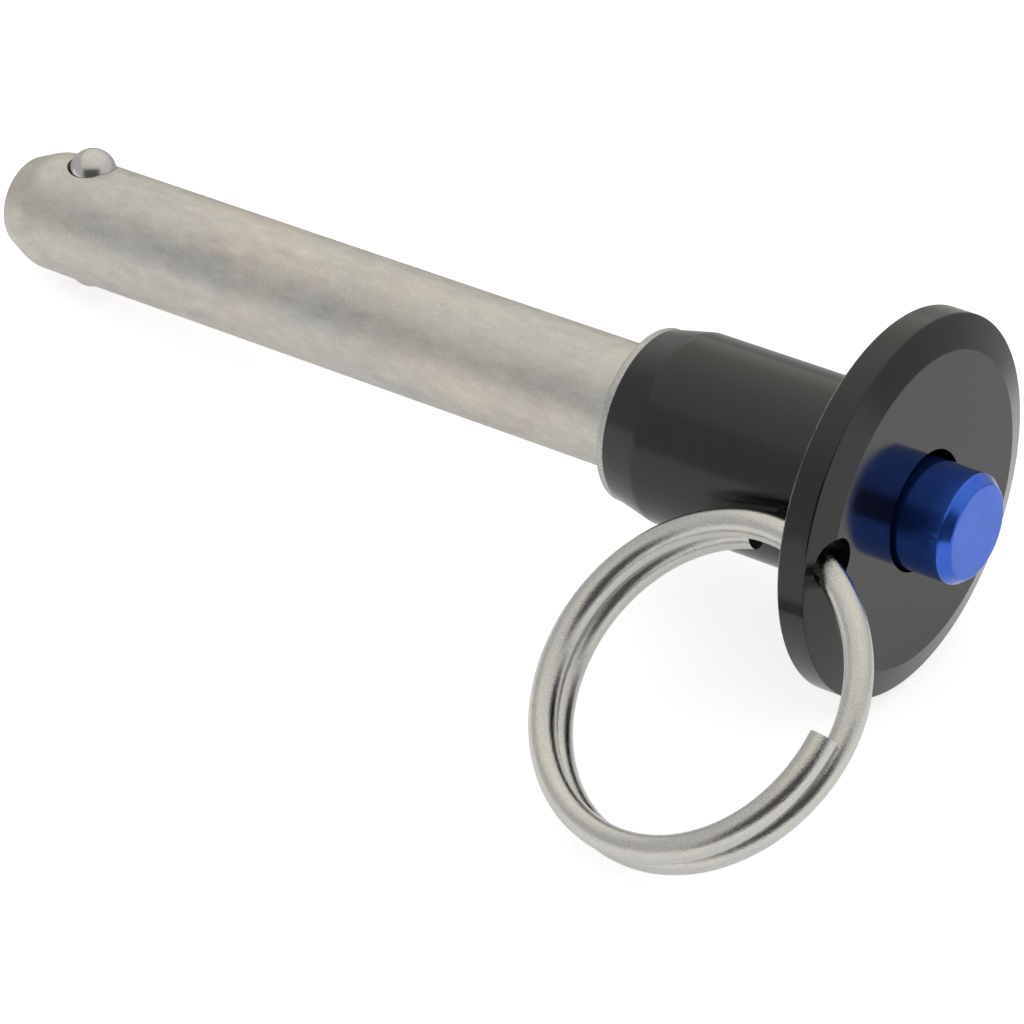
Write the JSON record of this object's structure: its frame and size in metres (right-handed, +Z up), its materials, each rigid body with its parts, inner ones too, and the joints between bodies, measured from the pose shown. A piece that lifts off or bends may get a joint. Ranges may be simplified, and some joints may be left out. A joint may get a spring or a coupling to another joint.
{
  "type": "ball lock pin",
  "caption": "Quick-release pin: a button in a flanged handle slides a spindle that lets two spring-locked balls into the shank; a split ring hangs from the flange.",
  "frame": {"origin": "middle of the ground that the pin covers as it lies, at floor level", "axes": "+Z up; the shank points to -X, leaning down to its nose; the split ring lies to -Y"},
  "size_m": [0.1214, 0.0612, 0.0381],
  "materials": {
    "black_anodised": "black anodised, turned, glossy",
    "blue_anodised": "blue anodised, satin",
    "stainless": "passivated, satin",
    "spring_wire": "drawn wire",
    "polished_ball": "polished",
    "ring_wire": "satin drawn wire"
  },
  "bodies": {
    "body": {"handle": "black_anodised", "shank": "stainless", "return_spring": "spring_wire"},
    "plunger": {"button": "blue_anodised", "spindle": "stainless"},
    "ball_a": {"ball_upper": "polished_ball"},
    "ball_b": {"ball_lower": "polished_ball"},
    "ring": {"split_ring": "ring_wire"}
  },
  "joints": [
    {"name": "button_press", "type": "slide", "parent": "body", "child": "plunger", "axis": [-0.9929, 0, -0.1192], "range_m": [0, 0.0035], "stiffness_N_per_m": 1500, "springref_m": -0.006, "deforming": ["return_spring"]},
    {"name": "ball_upper_slide", "type": "slide", "parent": "body", "child": "ball_a", "axis": [-0.1157, 0.2419, 0.9634], "range_m": [-0.00185, 0]},
    {"name": "ball_lower_slide", "type": "slide", "parent": "body", "child": "ball_b", "axis": [0.1157, -0.2419, -0.9634], "range_m": [-0.00185, 0]},
    {"name": "ring_swing", "type": "hinge", "parent": "body", "child": "ring", "pos_m": [0.04818, -0.00348, 0.02287], "axis": [0.9381, -0.3365, -0.0822], "range_deg": [-175, 12]}
  ],
  "couplings": [
    {"joint": "ball_upper_slide", "follows": "button_press", "ratio": -0.52857},
    {"joint": "ball_lower_slide", "follows": "button_press", "ratio": -0.52857}
  ]
}
